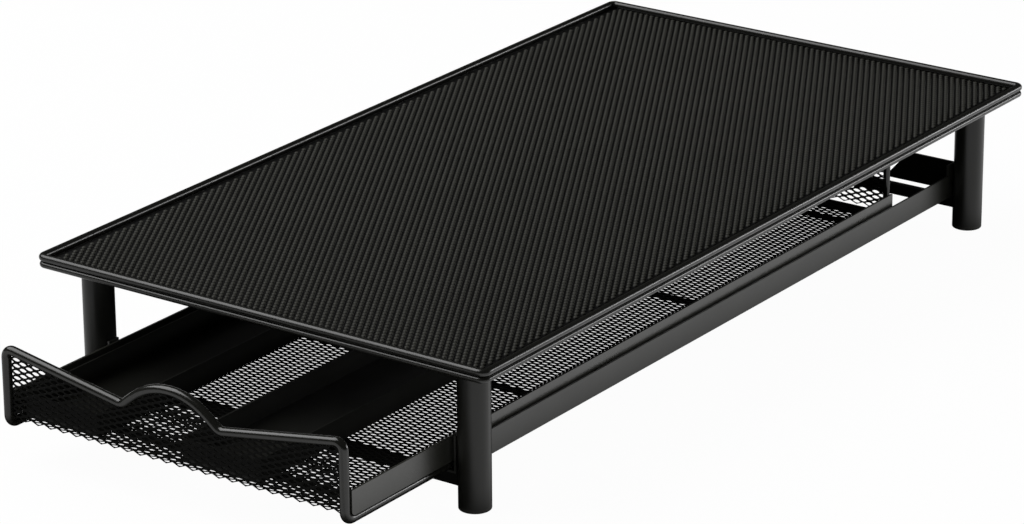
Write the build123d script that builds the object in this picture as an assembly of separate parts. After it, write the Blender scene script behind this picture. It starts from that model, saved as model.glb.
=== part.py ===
from build123d import *
import math
import os

# Pull-out drawer for coffee pods under a flat stand. Millimetres, +X to the right seen from the front,
# +Y to the back, +Z up. The origin is under the middle of the whole object at floor level, with the
# drawer pulled out a little, as it stands at rest.

# ---------------------------------------------------------------- stand: driving sizes
top_width = 222.8
top_length = 413.5
stand_height = 66.4
rim_corner_radius = 4.0
upper_rod_diameter = 3.2
lower_rod_diameter = 2.7
lower_rod_inset = 0.2

mat_recess = 2.0
mat_thickness = 1.4
mat_edge_gap = 0.8
mat_rib_height = 0.7
mat_rib_width = 8.0
mat_rib_pitch = 16.0
mat_rib_turn = 30.0
panel_thickness = 1.2
panel_edge_gap = 0.0
corner_plate_reach = 36.0
corner_plate_cut = 22.0
strap_width = 14.0
strap_spacing = 130.0

leg_inset_x = 17.8
leg_inset_y = 17.5
leg_diameter = 13.2
leg_wall = 1.0
cap_thickness = 1.8
cap_edge_round = 0.5
cap_plug_length = 9.0
cap_plug_gap = 0.05

# ---------------------------------------------------------------- stand: rails and bars
rail_sheet = 0.9
rail_height = 10.4
rail_foot_width = 6.5
rail_front_reach = 3.3
rail_ear_height = 5.2
rail_ear_length = 6.0

crossbar_height = 5.0
crossbar_thickness = 3.0
crossbar_drop = 0.7

stop_plate_thickness = 1.5
stop_plate_height = 13.4
stop_plate_rise = 2.0
stop_plate_length = 36.0
stop_plate_slant = 11.7
stop_gap = 0.1

# ---------------------------------------------------------------- drawer: driving sizes
frame_wire_diameter = 4.0
rear_wire_diameter = 3.0
wire_running_gap = 0.05
wire_side_gap = 1.1
drawer_length = 397.7
drawer_pulled_out = 46.0
front_corner_height = 48.9
front_crest_height = 50.0
front_dip_height = 38.9
front_dip_offset = 24.0
front_crest_radius = 29.0
front_dip_radius = 5.0
front_corner_radius = 3.2
runner_bend_radius = 4.0
rear_bend_radius = 5.0
rear_loop_inset = 3.0
rear_loop_height = 50.0
rear_loop_radius = 6.0

strip_thickness = 1.0
strip_height = 10.5
strip_front_gap = 1.9
strip_rear_gap = 1.0
strip_seat_gap = 0.02

mesh_thickness = 1.0
mesh_gap = 0.05
front_cell_width = 9.0
front_cell_height = 6.4
floor_cell_width = 24.0
floor_cell_length = 18.6
mesh_strand = 1.6
mesh_margin = 1.6

cross_wire_diameter = 2.4
cross_wire_count = 4
cross_wire_end_gap = 18.0

tray_lane_gap = 2.9
tray_height = 9.8
tray_sheet = 0.8
tray_corner_round = 1.2
tray_front_gap = 3.6
tray_rear_gap = 2.0
left_tray_shift = 2.75
right_tray_shift = -0.45

# ---------------------------------------------------------------- places worked out from the sizes
half_width = top_width / 2
half_length = top_length / 2
frame_wire_radius = frame_wire_diameter / 2
rear_wire_radius = rear_wire_diameter / 2

leg_x = half_width - leg_inset_x
leg_y = half_length - leg_inset_y
leg_radius = leg_diameter / 2
leg_inner_x = leg_x - leg_radius

upper_rod_z = stand_height - upper_rod_diameter / 2
lower_rod_z = stand_height - upper_rod_diameter - lower_rod_diameter / 2
lower_rod_bottom = lower_rod_z - lower_rod_diameter / 2
mat_top = stand_height - mat_recess
panel_top = mat_top - mat_thickness
panel_bottom = panel_top - panel_thickness
leg_top = lower_rod_bottom
frame_plate_thickness = panel_bottom - leg_top

# The wire of the drawer runs on the foot of each rail.
rail_outer_x = leg_inner_x
rail_web_x = rail_outer_x - rail_sheet
wire_x = rail_web_x - wire_side_gap - frame_wire_radius
rail_bottom = cap_thickness + 11.95
rail_top = rail_bottom + rail_height
wire_z = rail_bottom + rail_sheet + wire_running_gap + frame_wire_radius
wire_top = wire_z + frame_wire_radius
crossbar_top = rail_bottom - crossbar_drop

stop_front_y = leg_y - stop_plate_thickness / 2
drawer_rear_y = stop_front_y - stop_gap - frame_wire_radius - drawer_pulled_out
drawer_front_y = drawer_rear_y - drawer_length
drawer_reach = -drawer_front_y + frame_wire_radius

# The stand's middle lies behind the origin by half of what the drawer stands out.
stand_y = (drawer_reach - half_length) / 2

# The strip's outer face is flush with the wire's outer side, so its lower edge rests on the wire's flank.
strip_outer_x = wire_x + frame_wire_radius
strip_inner_x = strip_outer_x - strip_thickness
strip_offset = frame_wire_radius - strip_thickness
strip_seat = math.sqrt(frame_wire_radius**2 - strip_offset**2) + strip_seat_gap
strip_bottom = wire_z + strip_seat
cross_wire_z = wire_top + mesh_gap - cross_wire_diameter / 2
floor_bottom = cross_wire_z + cross_wire_diameter / 2
floor_top = floor_bottom + mesh_thickness
rear_loop_x = wire_x - rear_loop_inset

# Four lanes lie between the runners. The trays stand in the first and the third from the left.
lane_width = wire_x / 2
tray_width = lane_width - tray_lane_gap
left_tray_center = left_tray_shift - 1.5 * lane_width
right_tray_center = right_tray_shift + 0.5 * lane_width

sides = {"left": -1, "right": 1}
ends = {"front": -1, "rear": 1}


def save(name, shape):
    """Put the shape at the stand's place in the part's frame and write it."""
    shape = Pos(0, stand_y, 0) * shape
    shape.label = name
    export_step(shape, f"parts/{name}.step")


def rod_along(path, diameter):
    """A round wire whose middle line is the path."""
    start = Plane(origin=path @ 0, z_dir=path % 0)
    return sweep(start * Circle(diameter / 2), path=path)


def rod_hoop(outer_width, outer_length, corner_radius, diameter, height):
    """A closed ring of round rod, given by its outside size and its corner radius at the outside."""
    outline = RectangleRounded(
        outer_width - diameter, outer_length - diameter, corner_radius - diameter / 2
    )
    return rod_along(Pos(0, 0, height) * outline.wire(), diameter)


def box_between(low, high):
    """A box from its lowest corner to its highest."""
    size = [high[i] - low[i] for i in range(3)]
    middle = [(high[i] + low[i]) / 2 for i in range(3)]
    return Pos(*middle) * Box(*size)


# ---------------------------------------------------------------- top
def top_mat():
    """Non-slip mat in the recess of the rim, with slanted ribs that stand for its rows of beads."""
    inset = 2 * (upper_rod_diameter + mat_edge_gap)
    radius = rim_corner_radius - upper_rod_diameter
    outline = RectangleRounded(top_width - inset, top_length - inset, radius)
    slab_thickness = mat_thickness - mat_rib_height
    mat = extrude(Pos(0, 0, panel_top) * outline, slab_thickness)
    reach = math.hypot(top_width, top_length)
    count = int(reach / 2 / mat_rib_pitch)
    for index in range(-count, count + 1):
        stripe = Rot(0, 0, mat_rib_turn) * Pos(index * mat_rib_pitch, 0) * Rectangle(mat_rib_width, reach)
        rib = outline & stripe
        if rib:
            mat += extrude(Pos(0, 0, panel_top + slab_thickness) * rib, mat_rib_height)
    return mat


def top_panel():
    """Sheet that carries the mat inside the lower rod."""
    inset = 2 * (lower_rod_inset + lower_rod_diameter + panel_edge_gap)
    radius = rim_corner_radius - lower_rod_inset - lower_rod_diameter
    face = RectangleRounded(top_width - inset, top_length - inset, radius)
    return extrude(Pos(0, 0, panel_bottom) * face, panel_thickness)


def upper_rim_rod():
    return rod_hoop(top_width, top_length, rim_corner_radius, upper_rod_diameter, upper_rod_z)


def lower_rim_rod():
    inset = 2 * lower_rod_inset
    radius = rim_corner_radius - lower_rod_inset
    return rod_hoop(top_width - inset, top_length - inset, radius, lower_rod_diameter, lower_rod_z)


def corner_plate(side, end):
    """Plate between the leg's top and the panel, reaching out to the lower rod."""
    edge_x = half_width - lower_rod_inset - lower_rod_diameter - panel_edge_gap
    edge_y = half_length - lower_rod_inset - lower_rod_diameter - panel_edge_gap
    inner_x = edge_x - corner_plate_reach
    inner_y = edge_y - corner_plate_reach
    outline = Polyline(
        (inner_x, edge_y),
        (edge_x, edge_y),
        (edge_x, inner_y),
        (edge_x - corner_plate_reach + corner_plate_cut, inner_y),
        (inner_x, edge_y - corner_plate_reach + corner_plate_cut),
        close=True,
    )
    plate = extrude(Pos(0, 0, leg_top) * make_face(outline), frame_plate_thickness)
    corner = plate.edges().filter_by(Axis.Z).sort_by(lambda edge: edge.center().X + edge.center().Y)[-1]
    plate = fillet(corner, rim_corner_radius - lower_rod_inset - lower_rod_diameter)
    if side < 0:
        plate = plate.mirror(Plane.YZ)
    if end < 0:
        plate = plate.mirror(Plane.XZ)
    return plate


def panel_strap(end):
    """Flat strap across the stand, under the panel."""
    reach = half_width - lower_rod_inset - lower_rod_diameter - panel_edge_gap
    middle_y = end * strap_spacing / 2
    return box_between(
        (-reach, middle_y - strap_width / 2, leg_top),
        (reach, middle_y + strap_width / 2, leg_top + frame_plate_thickness),
    )


# ---------------------------------------------------------------- legs
def leg(side, end):
    """Straight tube from the foot cap to the corner plate."""
    section = Circle(leg_radius) - Circle(leg_radius - leg_wall)
    tube = extrude(Pos(0, 0, cap_thickness) * section, leg_top - cap_thickness)
    return Pos(side * leg_x, end * leg_y, 0) * tube


def foot_cap(side, end):
    """Cap that closes the tube's lower end, with a plug inside the tube."""
    disc = extrude(Circle(leg_radius), cap_thickness)
    disc = fillet(disc.edges().group_by(Axis.Z)[0], cap_edge_round)
    plug_radius = leg_radius - leg_wall - cap_plug_gap
    plug = extrude(Pos(0, 0, cap_thickness) * Circle(plug_radius), cap_plug_length)
    return Pos(side * leg_x, end * leg_y, 0) * (disc + plug)


# ---------------------------------------------------------------- rails and bars
def rail(side):
    """Folded angle along the legs, with its foot to the inside and an ear at each end for the legs."""
    foot_inner = rail_outer_x - rail_foot_width
    profile = Polyline(
        (foot_inner, rail_bottom),
        (rail_outer_x, rail_bottom),
        (rail_outer_x, rail_top),
        (rail_web_x, rail_top),
        (rail_web_x, rail_bottom + rail_sheet),
        (foot_inner, rail_bottom + rail_sheet),
        close=True,
    )
    front = -leg_y - rail_front_reach
    length = stop_front_y - front
    section = Plane(origin=(0, front, 0), x_dir=(1, 0, 0), z_dir=(0, -1, 0)) * make_face(profile)
    body = extrude(section, -length)
    for start in (front, stop_front_y - rail_ear_length):
        body += box_between(
            (rail_web_x, start, rail_top),
            (rail_outer_x, start + rail_ear_length, rail_top + rail_ear_height),
        )
    if side < 0:
        body = body.mirror(Plane.YZ)
    return body


def crossbar(end):
    """Flat bar between two legs, under the drawer."""
    middle_y = end * leg_y
    return box_between(
        (-leg_inner_x, middle_y - crossbar_thickness / 2, crossbar_top - crossbar_height),
        (leg_inner_x, middle_y + crossbar_thickness / 2, crossbar_top),
    )


def rear_stop(side):
    """Plate on the rear leg that stops the drawer, with a slanted inner end."""
    low = rail_bottom + stop_plate_rise
    high = low + stop_plate_height
    outline = Polyline(
        (leg_inner_x, low),
        (leg_inner_x, high),
        (leg_inner_x - stop_plate_length + stop_plate_slant, high),
        (leg_inner_x - stop_plate_length, low),
        close=True,
    )
    face = Plane(origin=(0, stop_front_y, 0), x_dir=(1, 0, 0), z_dir=(0, -1, 0)) * make_face(outline)
    plate = extrude(face, -stop_plate_thickness)
    if side < 0:
        plate = plate.mirror(Plane.YZ)
    return plate


# ---------------------------------------------------------------- drawer
def crest_apex_height():
    """Height at which the two straight sides of the front's middle arch would meet."""
    rise = front_crest_height - front_dip_height
    across = front_dip_offset
    down = front_crest_radius - rise
    turn = math.atan2(across, down) - math.acos(front_crest_radius / math.hypot(across, down))
    return front_dip_height + across * math.tan(turn)


def front_wave():
    """Corners of the front wire's upper edge from left to right, with the bend at each."""
    return [
        (-wire_x, front_corner_height, front_corner_radius),
        (-front_dip_offset, front_dip_height, front_dip_radius),
        (0, crest_apex_height(), front_crest_radius),
        (front_dip_offset, front_dip_height, front_dip_radius),
        (wire_x, front_corner_height, front_corner_radius),
    ]


def wave_height(x):
    """Height of the front wire's middle line above the floor at a place across the drawer."""
    across = abs(x)
    apex = crest_apex_height()
    slope = (apex - front_dip_height) / front_dip_offset
    side_end = front_crest_radius * math.sin(math.atan(slope))
    if across < side_end:
        drop = front_crest_radius - math.sqrt(front_crest_radius**2 - across**2)
        return front_crest_height - drop
    if across < front_dip_offset:
        return apex - slope * across
    rise = (front_corner_height - front_dip_height) / (wire_x - front_dip_offset)
    return front_dip_height + rise * (across - front_dip_offset)


def drawer_frame_wire():
    """One closed wire: the shaped front, the two runners on the rails and the rear's lower edge."""
    corners = [((x, drawer_front_y, z), radius) for x, z, radius in front_wave()]
    corners.append(((wire_x, drawer_front_y, wire_z), runner_bend_radius))
    corners.append(((wire_x, drawer_rear_y, wire_z), rear_bend_radius))
    corners.append(((-wire_x, drawer_rear_y, wire_z), rear_bend_radius))
    corners.append(((-wire_x, drawer_front_y, wire_z), runner_bend_radius))
    points = [point for point, radius in corners]
    bends = [radius for point, radius in corners]
    path = FilletPolyline(*points, radius=bends, close=True)
    return rod_along(path, frame_wire_diameter)


def rear_wire_loop():
    """Upright wire that stands on the frame's rear edge and carries the rear mesh."""
    path = FilletPolyline(
        (-rear_loop_x, drawer_rear_y, wire_top),
        (-rear_loop_x, drawer_rear_y, rear_loop_height),
        (rear_loop_x, drawer_rear_y, rear_loop_height),
        (rear_loop_x, drawer_rear_y, wire_top),
        radius=rear_loop_radius,
    )
    return rod_along(path, rear_wire_diameter)


def side_strip(side):
    """Flat strip on the flank of each runner that keeps the pods in."""
    front = drawer_front_y + strip_front_gap
    rear = drawer_rear_y - strip_rear_gap - frame_wire_radius
    middle = Pos((front + rear) / 2, strip_bottom + strip_height / 2)
    face = middle * Rectangle(rear - front, strip_height)
    bend = Pos(drawer_front_y + runner_bend_radius, wire_z + runner_bend_radius)
    room = Rectangle(runner_bend_radius, runner_bend_radius, align=(Align.MAX, Align.MAX))
    corner = bend * (room - Circle(runner_bend_radius - strip_seat))
    section = Plane(origin=(strip_inner_x, 0, 0), x_dir=(0, 1, 0), z_dir=(1, 0, 0)) * (face - corner)
    strip = extrude(section, strip_thickness)
    if side < 0:
        strip = strip.mirror(Plane.YZ)
    return strip


def mesh_cells(half_across, low, high, width, height, limit=None):
    """Middles of the staggered openings of a mesh that lie inside its edge."""
    places = []
    rows = int((high - low) / (height / 2)) + 2
    columns = int(2 * half_across / width) + 2
    for row in range(rows):
        level = low + mesh_margin + height / 2 + row * height / 2
        shift = width / 2 if row % 2 else 0
        for column in range(-columns, columns + 1):
            across = column * width + shift
            if abs(across) + width / 2 > half_across - mesh_margin:
                continue
            top = high
            if limit is not None:
                near = [limit(across + step * width / 4) for step in (-2, -1, 0, 1, 2)]
                top = min(near)
            if level + height / 2 > top - mesh_margin:
                continue
            places.append((across, level))
    return places


def mesh_cell(width, height):
    """One opening: a diamond between two strands."""
    side_distance = (width / 2) * (height / 2) / math.hypot(width / 2, height / 2)
    scale = 1 - mesh_strand / 2 / side_distance
    across = scale * width / 2
    along = scale * height / 2
    return make_face(Polyline((-across, 0), (0, along), (across, 0), (0, -along), close=True))


def holed_sheet(outline, places, width, height):
    """The outline's face with a cell cut at each place."""
    cell = mesh_cell(width, height)
    return outline - [Pos(across, level) * cell for across, level in places]


def upright(y):
    """Plane across the drawer whose first axis is X and whose second is Z."""
    return Plane(origin=(0, y, 0), x_dir=(1, 0, 0), z_dir=(0, -1, 0))


def mesh_front_panel():
    """Mesh from the floor up to the front wire, cut to the wire's shape."""
    corners = front_wave()
    corners.append((wire_x, floor_bottom - frame_wire_radius, 0))
    corners.append((-wire_x, floor_bottom - frame_wire_radius, 0))
    points = [(x, z) for x, z, radius in corners]
    bends = [radius for x, z, radius in corners]
    outline = offset(make_face(FilletPolyline(*points, radius=bends, close=True)), -frame_wire_radius)
    half_across = wire_x - frame_wire_radius
    places = mesh_cells(
        half_across,
        floor_bottom,
        front_crest_height,
        front_cell_width,
        front_cell_height,
        lambda x: wave_height(x) - frame_wire_radius,
    )
    print("front mesh openings", len(places))
    sheet = holed_sheet(outline, places, front_cell_width, front_cell_height)
    return extrude(upright(drawer_front_y + mesh_thickness / 2) * sheet, mesh_thickness)


def mesh_rear_panel():
    """Mesh from the floor up to the rear wire."""
    half_across = rear_loop_x - rear_wire_radius
    top = rear_loop_height - rear_wire_radius
    outline = Pos(0, (floor_bottom + top) / 2) * Rectangle(2 * half_across, top - floor_bottom)
    upper = outline.vertices().group_by(Axis.Y)[-1]
    outline = fillet(upper, rear_loop_radius - rear_wire_radius)
    places = mesh_cells(half_across, floor_bottom, top, front_cell_width, front_cell_height)
    places = [
        (x, z)
        for x, z in places
        if abs(x) < half_across - front_cell_width or z < top - rear_loop_radius
    ]
    print("rear mesh openings", len(places))
    sheet = holed_sheet(outline, places, front_cell_width, front_cell_height)
    return extrude(upright(drawer_rear_y + mesh_thickness / 2) * sheet, mesh_thickness)


def mesh_floor():
    """Mesh floor between the side strips, from the front mesh to the rear mesh."""
    front = drawer_front_y + mesh_thickness / 2
    rear = drawer_rear_y - mesh_thickness / 2
    half_across = wire_x - frame_wire_radius - mesh_gap
    outline = Pos(0, (front + rear) / 2) * Rectangle(2 * half_across, rear - front)
    notch = rear_wire_diameter + 2 * mesh_gap
    for side in sides.values():
        outline -= Pos(side * rear_loop_x, drawer_rear_y) * Rectangle(notch, notch)
    places = mesh_cells(half_across, front, rear, floor_cell_width, floor_cell_length)
    print("floor mesh openings", len(places))
    sheet = holed_sheet(outline, places, floor_cell_width, floor_cell_length)
    return extrude(Pos(0, 0, floor_bottom) * sheet, mesh_thickness)


def floor_cross_wires():
    """Wires under the floor from one runner to the other."""
    reach = wire_x - frame_wire_radius
    first = drawer_front_y + cross_wire_end_gap
    last = drawer_rear_y - cross_wire_end_gap
    step = (last - first) / (cross_wire_count - 1)
    wires = []
    for index in range(cross_wire_count):
        start = Plane(origin=(-reach, first + index * step, cross_wire_z), z_dir=(1, 0, 0))
        wires.append(extrude(start * Circle(cross_wire_diameter / 2), 2 * reach))
    return Compound(children=wires)


def pod_tray(centre):
    """Long open tray on the floor mesh that holds one row of pods."""
    front = drawer_front_y + tray_front_gap
    rear = drawer_rear_y - tray_rear_gap
    length = rear - front
    middle = Pos(centre, (front + rear) / 2, floor_top)
    outer = RectangleRounded(tray_width, length, tray_corner_round + tray_sheet)
    inner = RectangleRounded(tray_width - 2 * tray_sheet, length - 2 * tray_sheet, tray_corner_round)
    shell = extrude(middle * outer, tray_height)
    return shell - extrude(middle * Pos(0, 0, tray_sheet) * inner, tray_height)


def main():
    os.makedirs("parts", exist_ok=True)
    save("top_mat", top_mat())
    save("top_panel", top_panel())
    save("upper_rim_rod", upper_rim_rod())
    save("lower_rim_rod", lower_rim_rod())
    for end_name, end in ends.items():
        save(f"panel_strap_{end_name}", panel_strap(end))
        save(f"crossbar_{end_name}", crossbar(end))
        for side_name, side in sides.items():
            place = f"{end_name}_{side_name}"
            save(f"corner_plate_{place}", corner_plate(side, end))
            save(f"leg_{place}", leg(side, end))
            save(f"foot_cap_{place}", foot_cap(side, end))
    for side_name, side in sides.items():
        save(f"rail_{side_name}", rail(side))
        save(f"rear_stop_{side_name}", rear_stop(side))
        save(f"side_strip_{side_name}", side_strip(side))
    save("drawer_frame_wire", drawer_frame_wire())
    save("rear_wire_loop", rear_wire_loop())
    save("mesh_front_panel", mesh_front_panel())
    save("mesh_rear_panel", mesh_rear_panel())
    save("mesh_floor", mesh_floor())
    save("floor_cross_wires", floor_cross_wires())
    save("pod_tray_left", pod_tray(left_tray_center))
    save("pod_tray_right", pod_tray(right_tray_center))
    print("stand middle at y", round(stand_y, 3), "drawer front", round(drawer_front_y + stand_y, 3))


main()
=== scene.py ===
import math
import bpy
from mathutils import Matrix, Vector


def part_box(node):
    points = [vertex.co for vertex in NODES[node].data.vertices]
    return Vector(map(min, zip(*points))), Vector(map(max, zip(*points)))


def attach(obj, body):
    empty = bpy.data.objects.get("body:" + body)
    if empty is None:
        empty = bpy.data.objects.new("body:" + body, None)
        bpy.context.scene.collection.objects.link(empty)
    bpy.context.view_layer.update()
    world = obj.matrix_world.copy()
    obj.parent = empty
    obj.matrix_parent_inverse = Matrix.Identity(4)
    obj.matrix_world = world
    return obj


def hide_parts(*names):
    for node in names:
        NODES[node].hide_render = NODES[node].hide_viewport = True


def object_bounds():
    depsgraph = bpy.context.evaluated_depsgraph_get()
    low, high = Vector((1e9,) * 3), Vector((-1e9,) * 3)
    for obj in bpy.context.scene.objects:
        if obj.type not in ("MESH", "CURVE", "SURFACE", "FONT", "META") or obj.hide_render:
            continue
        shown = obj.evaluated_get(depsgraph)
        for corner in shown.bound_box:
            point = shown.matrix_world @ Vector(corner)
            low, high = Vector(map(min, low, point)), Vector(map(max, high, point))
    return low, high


bl_info = {
    "name": "Coffee pod drawer",
    "version": (1, 0, 0),
    "blender": (4, 5, 0),
    "location": "View3D > Sidebar > Pod drawer",
    "description": "Builds the textured top, the wire meshes and the finishes of a coffee pod drawer",
    "category": "Object",
}

import bpy
from bpy.props import FloatProperty, FloatVectorProperty, IntProperty, PointerProperty
from mathutils import Matrix, Vector

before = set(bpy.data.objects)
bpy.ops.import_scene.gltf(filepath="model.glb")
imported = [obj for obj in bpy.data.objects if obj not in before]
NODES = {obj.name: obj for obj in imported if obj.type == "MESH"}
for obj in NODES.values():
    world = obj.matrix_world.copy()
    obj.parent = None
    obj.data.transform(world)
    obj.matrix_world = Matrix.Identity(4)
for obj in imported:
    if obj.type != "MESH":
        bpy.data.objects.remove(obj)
CAD_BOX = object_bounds()
MM = 0.001
STAND_Y = sum(corner.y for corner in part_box("upper_rim_rod")) / 2

MAT_EDGE = 1.9 * MM
MAT_CORNER = 3.8 * MM
MAT_EDGE_ROUND = 0.12 * MM
# Each step of a bead: its share of the height, and how much narrower its upper end is.
BEAD_STEPS = ((0.55, 0.86), (0.30, 0.72), (0.15, 0.55))
# Height share of a bead from which its colour is no longer darkened by the painted shade.
CROWN_SHARE = 0.97

# A diamond whose four corners are cut has eight sides.
CUT_DIAMOND_SIDES = 8
NET_REACH = 1.2 * MM
WIRE_TOP_GAP = 1.6 * MM
ABOVE_ALL = 0.2

BUMP_DEPTH = 0.05 * MM
COAT_GRAIN = 1500.0
MAT_GRAIN = 1100.0

FLOOR_SIZE = 12
FLOOR_DROP = 0.0002
FLOOR_SHARE = 0.97
FLOOR_FADE = 0.04
# Painted reflected light of the floor at the object's other sides, as a share of the white at its right.
PAINTED_SIDE_REFLECTION = 0.75
SOFT_LIGHT = 0.38
MIRRORED_LIGHT = 0.03
LAMP_TARGET = (0, STAND_Y, 0.04)
CAMERA_SHIFT = (-0.00378, -0.00194)
SENSOR_WIDTH = 36


# ---------------------------------------------------------------- sizes and colours a user may change
class MatSettings(bpy.types.PropertyGroup):
    bead_pitch: FloatProperty(
        name="Bead pitch", description="Distance between beads in a row", default=2.95 * MM, unit="LENGTH"
    )
    row_pitch: FloatProperty(
        name="Row pitch", description="Distance between rows of beads", default=2.59 * MM, unit="LENGTH"
    )
    bead_length: FloatProperty(
        name="Bead length", description="Length of a bead along its row", default=2.5 * MM, unit="LENGTH"
    )
    bead_width: FloatProperty(
        name="Bead width", description="Width of a bead across its row", default=2.3 * MM, unit="LENGTH"
    )
    backing: FloatProperty(
        name="Backing", description="Thickness of the sheet under the beads", default=0.5 * MM, unit="LENGTH"
    )
    bead_sides: IntProperty(name="Bead sides", description="Sides of a bead seen from above", default=6)
    bead_turn: FloatProperty(
        name="Bead turn", description="Slant of the beaded rows", default=math.radians(30), subtype="ANGLE"
    )
    colour: FloatVectorProperty(
        name="Mat colour", description="Colour of the mat", subtype="COLOR", default=(0.031, 0.031, 0.026)
    )


class MeshSettings(bpy.types.PropertyGroup):
    cell_width: FloatProperty(
        name="Cell width", description="Width of a diamond of the mesh", default=6.49 * MM, unit="LENGTH"
    )
    cell_height: FloatProperty(
        name="Cell height", description="Height of a diamond of the mesh", default=2.577 * MM, unit="LENGTH"
    )
    strand: FloatProperty(
        name="Strand", description="Width of a strand of the mesh", default=0.70 * MM, unit="LENGTH"
    )
    rounding: FloatProperty(
        name="Rounding", description="Cut at the corners of an opening", default=0.55 * MM, unit="LENGTH"
    )
    thickness: FloatProperty(
        name="Thickness", description="Thickness of the mesh", default=0.36 * MM, unit="LENGTH"
    )


class CoatSettings(bpy.types.PropertyGroup):
    colour: FloatVectorProperty(
        name="Coat colour",
        description="Colour of the black coating",
        subtype="COLOR",
        default=(0.0085, 0.0086, 0.0070),
    )
    wire_roughness: FloatProperty(
        name="Wire roughness", description="Roughness of the coated wires", default=0.20, subtype="FACTOR"
    )
    sheet_roughness: FloatProperty(
        name="Sheet roughness", description="Roughness of the coated sheet", default=0.38, subtype="FACTOR"
    )
    rim_roughness: FloatProperty(
        name="Rim roughness", description="Roughness of the rim's rods", default=0.28, subtype="FACTOR"
    )
    leg_roughness: FloatProperty(
        name="Leg roughness", description="Roughness of the legs", default=0.34, subtype="FACTOR"
    )


class StageSettings(bpy.types.PropertyGroup):
    azimuth: FloatProperty(
        name="Camera azimuth",
        description="Turn of the camera from the front",
        default=math.radians(35.44),
        subtype="ANGLE",
    )
    elevation: FloatProperty(
        name="Camera elevation",
        description="Height of the camera as an angle",
        default=math.radians(20.75),
        subtype="ANGLE",
    )
    roll: FloatProperty(
        name="Camera roll",
        description="Turn of the camera about its view",
        default=math.radians(-0.39),
        subtype="ANGLE",
    )
    distance: FloatProperty(
        name="Camera distance", description="Distance from the stand's foot", default=1.8898, unit="LENGTH"
    )
    aim_right: FloatProperty(
        name="Aim right", description="Shift of the camera to its right", default=-0.01733, unit="LENGTH"
    )
    aim_up: FloatProperty(
        name="Aim up", description="Shift of the camera upwards", default=0.02131, unit="LENGTH"
    )
    lens: FloatProperty(name="Lens", description="Focal length in millimetres", default=154.742)
    floor_colour: FloatVectorProperty(
        name="Floor colour", description="Colour of the floor", subtype="COLOR", default=(0.8, 0.8, 0.8)
    )


# ---------------------------------------------------------------- small helpers
def deselect_all():
    """Nothing is selected afterwards."""
    if bpy.context.object and bpy.context.object.mode != "OBJECT":
        bpy.ops.object.mode_set(mode="OBJECT")
    bpy.ops.object.select_all(action="DESELECT")


def select_only(*objects):
    """Only these objects are selected, and the first is active."""
    deselect_all()
    for obj in objects:
        obj.select_set(True)
    bpy.context.view_layer.objects.active = objects[0]


def apply_place(obj):
    """Puts the object's place into its mesh."""
    select_only(obj)
    bpy.ops.object.transform_apply(location=True, rotation=True, scale=True)


def add_modifier(obj, kind, **values):
    """Adds a modifier with these values and applies it."""
    modifier = obj.modifiers.new(kind.lower(), kind)
    for key, value in values.items():
        setattr(modifier, key, value)
    select_only(obj)
    bpy.ops.object.modifier_apply(modifier=modifier.name)


def repeat(obj, count, step):
    """Repeats the object's mesh in a straight line."""
    add_modifier(
        obj,
        "ARRAY",
        count=count,
        use_relative_offset=False,
        use_constant_offset=True,
        constant_offset_displace=step,
    )


def face_outwards(obj):
    """Faces point outwards."""
    select_only(obj)
    bpy.ops.object.mode_set(mode="EDIT")
    bpy.ops.mesh.select_all(action="SELECT")
    bpy.ops.mesh.normals_make_consistent(inside=False)
    bpy.ops.object.mode_set(mode="OBJECT")


def smooth(obj, degrees):
    """Smooth shading, but for edges that are sharper than this angle."""
    select_only(obj)
    bpy.ops.object.shade_smooth_by_angle(angle=math.radians(degrees))


def give(obj, material):
    """The object has this material and no other."""
    obj.data.materials.clear()
    obj.data.materials.append(material)


def finish_piece(obj, name, body, slot, material, *nodes):
    """Names the piece, gives it its material, hides the nodes it stands for and ties it to its body."""
    obj.name = name
    obj.data.name = name
    give(obj, material)
    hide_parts(*nodes)
    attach(obj, body)


# ---------------------------------------------------------------- shared effects
def new_group(name, inputs, outputs):
    """A shader node group with these inputs, given as (name, kind, default), and these outputs."""
    group = bpy.data.node_groups.new(name, "ShaderNodeTree")
    for label, kind, default in inputs:
        socket = group.interface.new_socket(label, in_out="INPUT", socket_type=kind)
        socket.default_value = default
    for label, kind in outputs:
        group.interface.new_socket(label, in_out="OUTPUT", socket_type=kind)
    start = group.nodes.new("NodeGroupInput")
    end = group.nodes.new("NodeGroupOutput")
    return group, start, end


def noise(tree, vector, scale, detail):
    """Grey noise, around a half."""
    node = tree.nodes.new("ShaderNodeTexNoise")
    node.inputs["Detail"].default_value = detail
    tree.links.new(vector, node.inputs["Vector"])
    if isinstance(scale, (int, float)):
        node.inputs["Scale"].default_value = scale
    else:
        tree.links.new(scale, node.inputs["Scale"])
    return node.outputs["Fac"]


def map_range(tree, value, low, high):
    """The value, from 0 to 1, put between low and high."""
    node = tree.nodes.new("ShaderNodeMapRange")
    for label, given in (("Value", value), ("To Min", low), ("To Max", high)):
        if isinstance(given, (int, float)):
            node.inputs[label].default_value = given
        else:
            tree.links.new(given, node.inputs[label])
    return node.outputs["Result"]


def step_between(tree, value, low, high):
    """Soft step from 0, where the value is low, to 1, where it is high."""
    node = tree.nodes.new("ShaderNodeMapRange")
    node.interpolation_type = "SMOOTHSTEP"
    for label, given in (("Value", value), ("From Min", low), ("From Max", high)):
        if isinstance(given, (int, float)):
            node.inputs[label].default_value = given
        else:
            tree.links.new(given, node.inputs[label])
    return node.outputs["Result"]


def mix_colour(tree, factor, first, second):
    """The first colour where the factor is 0, and the second where it is 1."""
    node = tree.nodes.new("ShaderNodeMix")
    node.data_type = "RGBA"
    for index, given in ((0, factor), (6, first), (7, second)):
        tree.links.new(given, node.inputs[index])
    return node.outputs[2]


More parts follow.
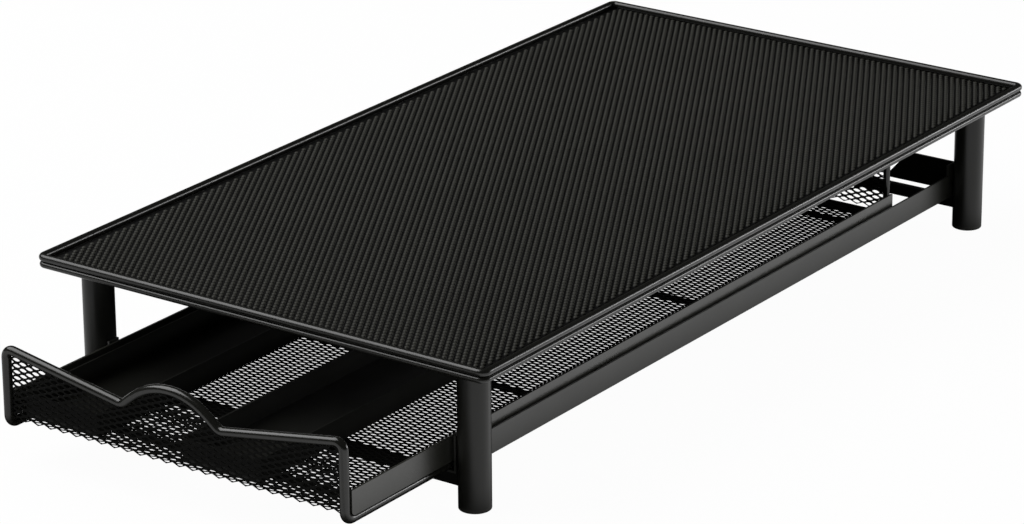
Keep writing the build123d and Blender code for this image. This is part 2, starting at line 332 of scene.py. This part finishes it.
def math_node(tree, kind, first, second):
    """The result of a sum, where each of the two values is a number or a socket."""
    node = tree.nodes.new("ShaderNodeMath")
    node.operation = kind
    for index, given in ((0, first), (1, second)):
        if isinstance(given, (int, float)):
            node.inputs[index].default_value = given
        else:
            tree.links.new(given, node.inputs[index])
    return node.outputs[0]


def coat_grain_group():
    """Baked powder coat: fine orange peel, faint cloudiness and small dull patches."""
    group, start, end = new_group(
        "coat_grain",
        (
            ("Colour", "NodeSocketColor", (0.02, 0.02, 0.02, 1)),
            ("Worn colour", "NodeSocketColor", (0.05, 0.05, 0.05, 1)),
            ("Roughness", "NodeSocketFloat", 0.35),
            ("Grain scale", "NodeSocketFloat", 1400.0),
        ),
        (("Colour", "NodeSocketColor"), ("Roughness", "NodeSocketFloat"), ("Height", "NodeSocketFloat")),
    )
    place = group.nodes.new("ShaderNodeTexCoord").outputs["Object"]
    grain = noise(group, place, start.outputs["Grain scale"], 3.0)
    cloud = noise(group, place, 38.0, 4.0)
    patch = map_range(group, noise(group, place, 160.0, 3.0), -0.6, 0.9)
    wear = math_node(group, "MULTIPLY", patch, 0.35)
    coloured = mix_colour(group, wear, start.outputs["Colour"], start.outputs["Worn colour"])
    group.links.new(coloured, end.inputs["Colour"])
    change = map_range(group, cloud, -0.07, 0.07)
    fine = map_range(group, grain, -0.05, 0.05)
    rough = math_node(group, "ADD", start.outputs["Roughness"], math_node(group, "ADD", change, fine))
    group.links.new(rough, end.inputs["Roughness"])
    group.links.new(grain, end.inputs["Height"])
    return group


def mat_grain_group():
    """Soft foamed surface: fine pits, slight colour change from bead to bead, and painted shade that darkens
    each bead from its crown down to its foot and the grooves between beads.
    """
    group, start, end = new_group(
        "mat_grain",
        (
            ("Colour", "NodeSocketColor", (0.04, 0.04, 0.035, 1)),
            ("Light colour", "NodeSocketColor", (0.07, 0.07, 0.06, 1)),
            ("Gap colour", "NodeSocketColor", (0.003, 0.003, 0.003, 1)),
            ("Foot", "NodeSocketFloat", 0.0635),
            ("Crown", "NodeSocketFloat", 0.0642),
            ("Cell scale", "NodeSocketFloat", 900.0),
        ),
        (("Colour", "NodeSocketColor"), ("Roughness", "NodeSocketFloat"), ("Height", "NodeSocketFloat")),
    )
    place = group.nodes.new("ShaderNodeTexCoord").outputs["Object"]
    fine = noise(group, place, start.outputs["Cell scale"], 3.0)
    bead = noise(group, place, 300.0, 1.0)
    cloud = noise(group, place, 24.0, 3.0)
    share = math_node(group, "MULTIPLY", bead, cloud)
    lighter = map_range(group, share, 0.0, 1.6)
    coloured = mix_colour(group, lighter, start.outputs["Colour"], start.outputs["Light colour"])
    split = group.nodes.new("ShaderNodeSeparateXYZ")
    group.links.new(place, split.inputs[0])
    # Painted shade: the colour goes from near-black shade at the foot of the beads to the mat's colour at
    # their crowns.
    painted_light_level = step_between(group, split.outputs["Z"], start.outputs["Foot"], start.outputs["Crown"])
    group.links.new(mix_colour(group, painted_light_level, start.outputs["Gap colour"], coloured), end.inputs["Colour"])
    group.links.new(map_range(group, fine, 0.42, 0.62), end.inputs["Roughness"])
    group.links.new(fine, end.inputs["Height"])
    return group


def grained_material(name, group, values, bump, **shader):
    """A Principled material whose colour, roughness and bump come from a shared effect."""
    material = bpy.data.materials.new(name)
    material.use_nodes = True
    tree = material.node_tree
    surface = tree.nodes["Principled BSDF"]
    effect = tree.nodes.new("ShaderNodeGroup")
    effect.node_tree = group
    for label, value in values.items():
        effect.inputs[label].default_value = value
    tree.links.new(effect.outputs["Colour"], surface.inputs["Base Color"])
    tree.links.new(effect.outputs["Roughness"], surface.inputs["Roughness"])
    relief = tree.nodes.new("ShaderNodeBump")
    relief.inputs["Strength"].default_value = bump
    relief.inputs["Distance"].default_value = BUMP_DEPTH
    tree.links.new(effect.outputs["Height"], relief.inputs["Height"])
    tree.links.new(relief.outputs["Normal"], surface.inputs["Normal"])
    for label, value in shader.items():
        surface.inputs[label.replace("_", " ")].default_value = value
    return material


def rgba(colour, factor=1.0):
    """The colour times the factor, as a socket takes it."""
    return (colour[0] * factor, colour[1] * factor, colour[2] * factor, 1.0)


class POD_OT_finishes(bpy.types.Operator):
    """Makes the finishes and gives every kept node its own"""

    bl_idname = "pod.finishes"
    bl_label = "Finishes"

    def execute(self, context):
        coat = context.scene.pod_coat
        mat = context.scene.pod_mat
        grain = coat_grain_group()
        foam = mat_grain_group()
        # For each finish: roughness, share of the coat's colour, bump and specular level. The share is
        # painted light: one black coat is made lighter on lit parts such as the strips and sheets, and
        # darker on shaded parts such as the bars, trays and mesh.
        kinds = {
            "wire_coat": (coat.wire_roughness, 0.9, 0.04, 0.5),
            "rim_coat": (coat.rim_roughness, 0.9, 0.04, 0.5),
            "strip_coat": (coat.sheet_roughness - 0.08, 2.6, 0.12, 0.9),
            "sheet_coat": (coat.sheet_roughness - 0.04, 1.9, 0.15, 0.7),
            "bar_coat": (coat.sheet_roughness, 0.5, 0.15, 0.15),
            "leg_coat": (coat.leg_roughness, 1.0, 0.12, 0.38),
            "mesh_coat": (coat.sheet_roughness, 0.25, 0.12, 0.05),
            "tray_coat": (coat.sheet_roughness, 0.8, 0.2, 0.2),
        }
        for name, (roughness, painted_light_level, bump, shine) in kinds.items():
            values = {
                "Colour": rgba(coat.colour, painted_light_level),
                "Worn colour": rgba(coat.colour, painted_light_level * 1.8),
                "Roughness": roughness,
                "Grain scale": COAT_GRAIN,
            }
            grained_material(name, grain, values, bump, Specular_IOR_Level=shine)
        low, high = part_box("top_mat")
        values = {
            "Colour": rgba(mat.colour),
            "Light colour": rgba(mat.colour, 1.5),
            # Painted shade in the grooves and on the lower sides of the beads.
            "Gap colour": rgba(mat.colour, 0.05),
            "Foot": low.z + mat.backing,
            "Crown": low.z + CROWN_SHARE * (high.z - low.z),
            "Cell scale": MAT_GRAIN,
        }
        grained_material("mat_foam", foam, values, 0.5, Specular_IOR_Level=0.2)
        plastic = {
            "Colour": rgba(coat.colour, 1.6),
            "Light colour": rgba(coat.colour, 2.4),
            "Crown": 0.0,
            "Foot": -1.0,
        }
        values = dict(values, **plastic)
        grained_material("cap_plastic", foam, values, 0.2, Specular_IOR_Level=0.4)
        for node, obj in NODES.items():
            give(obj, bpy.data.materials[finish_of(node)])
        return {"FINISHED"}


def finish_of(node):
    """The finish of a kept node."""
    if node in ("upper_rim_rod", "lower_rim_rod"):
        return "rim_coat"
    if node in ("drawer_frame_wire", "rear_wire_loop", "floor_cross_wires"):
        return "wire_coat"
    if node == "top_mat":
        return "mat_foam"
    for start, finish in (
        ("leg_", "leg_coat"),
        ("side_strip", "strip_coat"),
        ("crossbar", "bar_coat"),
        ("rear_stop", "bar_coat"),
        ("foot_cap", "cap_plastic"),
        ("mesh_", "mesh_coat"),
        ("pod_tray", "tray_coat"),
    ):
        if node.startswith(start):
            return finish
    return "sheet_coat"


# ---------------------------------------------------------------- the textured top
def make_bead(mat, x, y, foot, height):
    """One bead: a low dome drawn up from a flat foot, narrower with each step."""
    deselect_all()
    bpy.ops.mesh.primitive_circle_add(
        vertices=mat.bead_sides, radius=0.5, fill_type="NGON", location=(x, y, foot)
    )
    bead = bpy.context.object
    bead.scale = (mat.bead_width, mat.bead_length, 1)
    bead.rotation_euler = (0, 0, mat.bead_turn)
    apply_place(bead)
    bpy.ops.object.mode_set(mode="EDIT")
    bpy.ops.mesh.select_all(action="SELECT")
    for rise, narrow in BEAD_STEPS:
        bpy.ops.mesh.extrude_region_move(TRANSFORM_OT_translate={"value": (0, 0, rise * height)})
        bpy.ops.transform.resize(value=(narrow, narrow, 1), center_override=(x, y, foot))
    bpy.ops.object.mode_set(mode="OBJECT")
    face_outwards(bead)
    return bead


class POD_OT_mat(bpy.types.Operator):
    """Lays the mat: a thin backing with staggered rows of low beads"""

    bl_idname = "pod.mat"
    bl_label = "Textured mat"

    def execute(self, context):
        mat = context.scene.pod_mat
        foam = bpy.data.materials["mat_foam"]
        low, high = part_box("top_mat")
        columns = int((high.x - low.x - 2 * MAT_EDGE) / mat.bead_pitch)
        rows = int((high.y - low.y - 2 * MAT_EDGE) / mat.row_pitch) + 1
        pairs = rows // 4
        foot = low.z + mat.backing
        first_x = (low.x + high.x) / 2 - (columns - 0.5) * mat.bead_pitch / 2
        first_y = (low.y + high.y) / 2 - (4 * pairs - 1) * mat.row_pitch / 2
        for part in ("front", "rear"):
            y = first_y if part == "front" else first_y + 2 * pairs * mat.row_pitch
            even = make_bead(mat, first_x, y, foot, high.z - foot)
            repeat(even, columns, (mat.bead_pitch, 0, 0))
            odd = even.copy()
            odd.data = even.data.copy()
            context.scene.collection.objects.link(odd)
            odd.location = (mat.bead_pitch / 2, mat.row_pitch, 0)
            apply_place(odd)
            select_only(even, odd)
            bpy.ops.object.join()
            repeat(even, pairs, (0, 2 * mat.row_pitch, 0))
            smooth(even, 60)
            finish_piece(even, f"mat_beads_{part}", "stand", "mat", foam, "top_mat")
        deselect_all()
        middle = ((low.x + high.x) / 2, (low.y + high.y) / 2, low.z + mat.backing / 2)
        bpy.ops.mesh.primitive_cube_add(size=1, location=middle)
        backing = bpy.context.object
        backing.scale = (high.x - low.x, high.y - low.y, mat.backing)
        apply_place(backing)
        bpy.ops.object.mode_set(mode="EDIT")
        bpy.ops.mesh.select_mode(type="EDGE")
        bpy.ops.mesh.select_all(action="DESELECT")
        bpy.ops.object.mode_set(mode="OBJECT")
        for line in backing.data.edges:
            ends = [backing.data.vertices[i].co for i in line.vertices]
            line.select = abs(ends[0].z - ends[1].z) > mat.backing / 2
        bpy.ops.object.mode_set(mode="EDIT")
        bpy.ops.mesh.bevel(offset=MAT_CORNER, segments=8, affect="EDGES")
        bpy.ops.object.mode_set(mode="OBJECT")
        add_modifier(backing, "BEVEL", width=MAT_EDGE_ROUND, segments=2, limit_method="ANGLE")
        smooth(backing, 40)
        finish_piece(backing, "mat_backing", "stand", "mat", foam, "top_mat")
        return {"FINISHED"}


# ---------------------------------------------------------------- expanded-metal meshes
def diamond_sheet(mesh, centre, width, height, keep, upright):
    """A flat net of strands over a rectangle, with a cut diamond as each opening.

    keep(point) says which diamonds stay.
    """
    spare = 3
    count = int(width / mesh.cell_width) + int(height / mesh.cell_height) + 2 * spare
    deselect_all()
    side = count * math.sqrt(0.5)
    bpy.ops.mesh.primitive_grid_add(x_subdivisions=count, y_subdivisions=count, size=side)
    net = bpy.context.object
    net.rotation_euler = (0, 0, math.radians(45))
    apply_place(net)
    net.scale = (mesh.cell_width, mesh.cell_height, 1)
    apply_place(net)
    if upright:
        net.rotation_euler = (math.radians(90), 0, 0)
    net.location = centre
    apply_place(net)
    bpy.ops.object.mode_set(mode="EDIT")
    bpy.ops.mesh.select_mode(type="FACE")
    bpy.ops.mesh.select_all(action="DESELECT")
    bpy.ops.object.mode_set(mode="OBJECT")
    for face in net.data.polygons:
        face.select = not keep(face.center)
    bpy.ops.object.mode_set(mode="EDIT")
    bpy.ops.mesh.delete(type="FACE")
    bpy.ops.mesh.select_all(action="SELECT")
    bpy.ops.mesh.inset(thickness=mesh.strand / 2, use_individual=True)
    bpy.ops.mesh.bevel(offset=mesh.rounding, offset_type="OFFSET", segments=1, affect="VERTICES")
    bpy.ops.mesh.select_all(action="DESELECT")
    bpy.ops.object.mode_set(mode="OBJECT")
    for face in net.data.polygons:
        face.select = len(face.vertices) == CUT_DIAMOND_SIDES
    bpy.ops.object.mode_set(mode="EDIT")
    bpy.ops.mesh.delete(type="FACE")
    bpy.ops.object.mode_set(mode="OBJECT")
    return net


def thicken(net, thickness):
    """Gives the flat net its thickness."""
    add_modifier(net, "SOLIDIFY", thickness=thickness, offset=0.0, use_even_offset=False)
    face_outwards(net)
    smooth(net, 30)


def wire_height(node, x, y):
    """Height of the top of a wire above a place, or None where there is no wire."""
    hit, place, _normal, _index = NODES[node].ray_cast(Vector((x, y, ABOVE_ALL)), Vector((0, 0, -1)))
    return place.z if hit else None


class POD_OT_mesh_ends(bpy.types.Operator):
    """Stretches the mesh over the drawer's waved front and over its rear"""

    bl_idname = "pod.mesh_ends"
    bl_label = "Front and rear mesh"

    def execute(self, context):
        mesh = context.scene.pod_mesh
        coat = bpy.data.materials["mesh_coat"]
        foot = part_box("mesh_floor")[1].z
        for node, wire in (("mesh_front_panel", "drawer_frame_wire"), ("mesh_rear_panel", "rear_wire_loop")):
            low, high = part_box(node)
            middle = (low + high) / 2

            def keep(point, low=low, high=high, wire=wire, y=middle.y):
                if not low.x - NET_REACH < point.x < high.x + NET_REACH or point.z < foot:
                    return False
                top = wire_height(wire, point.x, y)
                return top is not None and point.z < top - WIRE_TOP_GAP

            size = high - low
            width, height = size.x + 4 * NET_REACH, size.z + 4 * NET_REACH
            net = diamond_sheet(mesh, middle, width, height, keep, True)
            thicken(net, mesh.thickness)
            name = node.replace("_panel", "_net")
            finish_piece(net, name, "drawer", "mesh_metal", coat, node)
        return {"FINISHED"}


class POD_OT_mesh_floor(bpy.types.Operator):
    """Lays the mesh floor of the drawer in lengths"""

    bl_idname = "pod.mesh_floor"
    bl_label = "Floor mesh"

    def execute(self, context):
        mesh = context.scene.pod_mesh
        coat = bpy.data.materials["mesh_coat"]
        low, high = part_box("mesh_floor")
        middle = (low + high) / 2
        size = high - low
        parts = ("front", "middle", "rear")
        for index, part in enumerate(parts):
            start = low.y + index * size.y / len(parts)
            end = start + size.y / len(parts)

            def keep(point, start=start, end=end):
                inside_x = abs(point.x) < size.x / 2 - mesh.cell_width / 4
                inside_y = low.y + mesh.cell_height / 2 < point.y < high.y - mesh.cell_height / 2
                return inside_x and inside_y and start < point.y <= end

            net = diamond_sheet(mesh, middle, size.x, size.y, keep, False)
            thicken(net, mesh.thickness)
            finish_piece(net, f"floor_net_{part}", "drawer", "mesh_metal", coat, "mesh_floor")
        return {"FINISHED"}


# ---------------------------------------------------------------- stage
def pale_material(name, colour, share):
    """Diffuse and pale, plain white for the camera, and in reflections a glowing floor with painted light:
    white to the right, grey at the other sides and a painted shadow under the object.
    """
    material = bpy.data.materials.new(name)
    material.use_nodes = True
    tree = material.node_tree
    surface = tree.nodes["Principled BSDF"]
    surface.inputs["Base Color"].default_value = rgba(colour)
    surface.inputs["Roughness"].default_value = 0.9
    surface.inputs["Specular IOR Level"].default_value = 0.1
    white = tree.nodes.new("ShaderNodeEmission")
    white.inputs["Strength"].default_value = 1.0
    dark = tree.nodes.new("ShaderNodeEmission")
    dark.inputs["Strength"].default_value = 0.0
    rays = tree.nodes.new("ShaderNodeLightPath")
    seen = math_node(tree, "MAXIMUM", rays.outputs["Is Camera Ray"], rays.outputs["Is Transmission Ray"])
    factor = math_node(tree, "MULTIPLY", seen, share)
    mix = tree.nodes.new("ShaderNodeMixShader")
    tree.links.new(factor, mix.inputs[0])
    tree.links.new(surface.outputs[0], mix.inputs[1])
    tree.links.new(white.outputs[0], mix.inputs[2])
    # Painted reflection: glossy rays see the floor glow, and see it dark where the painted shadow lies under
    # the object.
    mirrored = tree.nodes.new("ShaderNodeMixShader")
    tree.links.new(painted_floor_reflection(tree), mirrored.inputs[0])
    tree.links.new(dark.outputs[0], mirrored.inputs[1])
    tree.links.new(white.outputs[0], mirrored.inputs[2])
    choice = tree.nodes.new("ShaderNodeMixShader")
    tree.links.new(rays.outputs["Is Glossy Ray"], choice.inputs[0])
    tree.links.new(mix.outputs[0], choice.inputs[1])
    tree.links.new(mirrored.outputs[0], choice.inputs[2])
    tree.links.new(choice.outputs[0], tree.nodes["Material Output"].inputs["Surface"])
    return material


def painted_floor_reflection(tree):
    """Painted light seen in the floor's reflections: white to the right of the object, grey at its other
    sides, and a painted shadow under it.
    """
    low, high = CAD_BOX
    place = tree.nodes.new("ShaderNodeTexCoord").outputs["Object"]
    split = tree.nodes.new("ShaderNodeSeparateXYZ")
    tree.links.new(place, split.inputs[0])
    x, y = split.outputs["X"], split.outputs["Y"]
    right = step_between(tree, x, high.x - 0.6 * FLOOR_FADE, high.x + 0.4 * FLOOR_FADE)
    left = step_between(tree, x, low.x, low.x - FLOOR_FADE)
    front = step_between(tree, y, low.y, low.y - FLOOR_FADE)
    rear = step_between(tree, y, high.y, high.y + FLOOR_FADE)
    around = math_node(tree, "MAXIMUM", left, math_node(tree, "MAXIMUM", front, rear))
    return math_node(tree, "MAXIMUM", right, math_node(tree, "MULTIPLY", around, PAINTED_SIDE_REFLECTION))


def add_light(name, place, size, power):
    """A rectangular lamp that faces the stand."""
    data = bpy.data.lights.new(name, "AREA")
    data.shape = "RECTANGLE"
    data.size, data.size_y = size
    data.energy = power
    lamp = bpy.data.objects.new(name, data)
    bpy.context.scene.collection.objects.link(lamp)
    lamp.location = place
    lamp.rotation_euler = (Vector(LAMP_TARGET) - Vector(place)).to_track_quat("-Z", "Y").to_euler()


class POD_OT_stage(bpy.types.Operator):
    """Sets up the pale floor, the soft lights and the camera"""

    bl_idname = "pod.stage"
    bl_label = "Stage"

    def execute(self, context):
        stage = context.scene.pod_stage
        deselect_all()
        bpy.ops.mesh.primitive_plane_add(size=FLOOR_SIZE, location=(0, 0, -FLOOR_DROP))
        floor = bpy.context.object
        floor.name = "floor"
        give(floor, pale_material("floor_paint", stage.floor_colour, FLOOR_SHARE))

        world = bpy.data.worlds.new("studio")
        context.scene.world = world
        world.use_nodes = True
        tree = world.node_tree
        soft = tree.nodes["Background"]
        soft.inputs["Color"].default_value = (1, 1, 1, 1)
        soft.inputs["Strength"].default_value = SOFT_LIGHT
        white = tree.nodes.new("ShaderNodeBackground")
        white.inputs["Strength"].default_value = 1.0
        rays = tree.nodes.new("ShaderNodeLightPath")
        dim = tree.nodes.new("ShaderNodeBackground")
        dim.inputs["Strength"].default_value = MIRRORED_LIGHT
        mirrored = tree.nodes.new("ShaderNodeMixShader")
        tree.links.new(rays.outputs["Is Glossy Ray"], mirrored.inputs[0])
        tree.links.new(soft.outputs[0], mirrored.inputs[1])
        tree.links.new(dim.outputs[0], mirrored.inputs[2])
        mix = tree.nodes.new("ShaderNodeMixShader")
        tree.links.new(rays.outputs["Is Camera Ray"], mix.inputs[0])
        tree.links.new(mirrored.outputs[0], mix.inputs[1])
        tree.links.new(white.outputs[0], mix.inputs[2])
        tree.links.new(mix.outputs[0], tree.nodes["World Output"].inputs["Surface"])

        add_light("key_soft", (-1.03, -0.57, 1.42), (1.5, 1.5), 30)
        add_light("edge_soft", (0.97, 1.14, 0.24), (0.8, 0.25), 6)

        camera = bpy.data.cameras.new("camera")
        camera.lens = stage.lens
        camera.sensor_width = SENSOR_WIDTH
        camera.shift_x, camera.shift_y = CAMERA_SHIFT
        camera.clip_start, camera.clip_end = 0.05, 50
        holder = bpy.data.objects.new("camera", camera)
        context.scene.collection.objects.link(holder)
        turn, rise = stage.azimuth, stage.elevation
        level_reach = math.cos(rise)
        back = Vector((math.sin(turn) * level_reach, -math.cos(turn) * level_reach, math.sin(rise)))
        level = (-back).cross(Vector((0, 0, 1))).normalized()
        upward = level.cross(-back)
        right = math.cos(stage.roll) * level + math.sin(stage.roll) * upward
        up = math.cos(stage.roll) * upward - math.sin(stage.roll) * level
        place = back * stage.distance + right * stage.aim_right + up * stage.aim_up
        turned = Matrix((right, up, back)).transposed().to_4x4()
        holder.matrix_world = Matrix.Translation(place + Vector((0, STAND_Y, 0))) @ turned
        context.scene.camera = holder
        context.scene.view_settings.view_transform = "Standard"
        return {"FINISHED"}


class POD_PT_panel(bpy.types.Panel):
    """Shows a button for each building step and the drawer's settings"""

    bl_label = "Pod drawer"
    bl_idname = "POD_PT_panel"
    bl_space_type = "VIEW_3D"
    bl_region_type = "UI"
    bl_category = "Pod drawer"

    def draw(self, context):
        column = self.layout.column()
        for operator in OPERATORS:
            column.operator(operator.bl_idname)
        for group in GROUPS:
            settings = getattr(context.scene, group)
            for key in settings.__annotations__:
                column.prop(settings, key)


OPERATORS = (POD_OT_finishes, POD_OT_mat, POD_OT_mesh_ends, POD_OT_mesh_floor, POD_OT_stage)
GROUPS = {
    "pod_mat": MatSettings,
    "pod_mesh": MeshSettings,
    "pod_coat": CoatSettings,
    "pod_stage": StageSettings,
}


def register():
    """Adds the settings, the operators and the panel."""
    for group, settings in GROUPS.items():
        bpy.utils.register_class(settings)
        setattr(bpy.types.Scene, group, PointerProperty(type=settings))
    for operator in OPERATORS:
        bpy.utils.register_class(operator)
    bpy.utils.register_class(POD_PT_panel)


def unregister():
    """Takes away what register added."""
    bpy.utils.unregister_class(POD_PT_panel)
    for operator in reversed(OPERATORS):
        bpy.utils.unregister_class(operator)
    for group, settings in GROUPS.items():
        delattr(bpy.types.Scene, group)
        bpy.utils.unregister_class(settings)


def main():
    """Builds the whole scene."""
    register()
    bpy.ops.pod.finishes()
    bpy.ops.pod.mat()
    bpy.ops.pod.mesh_ends()
    bpy.ops.pod.mesh_floor()
    bpy.ops.pod.stage()


if __name__ == "__main__":
    main()
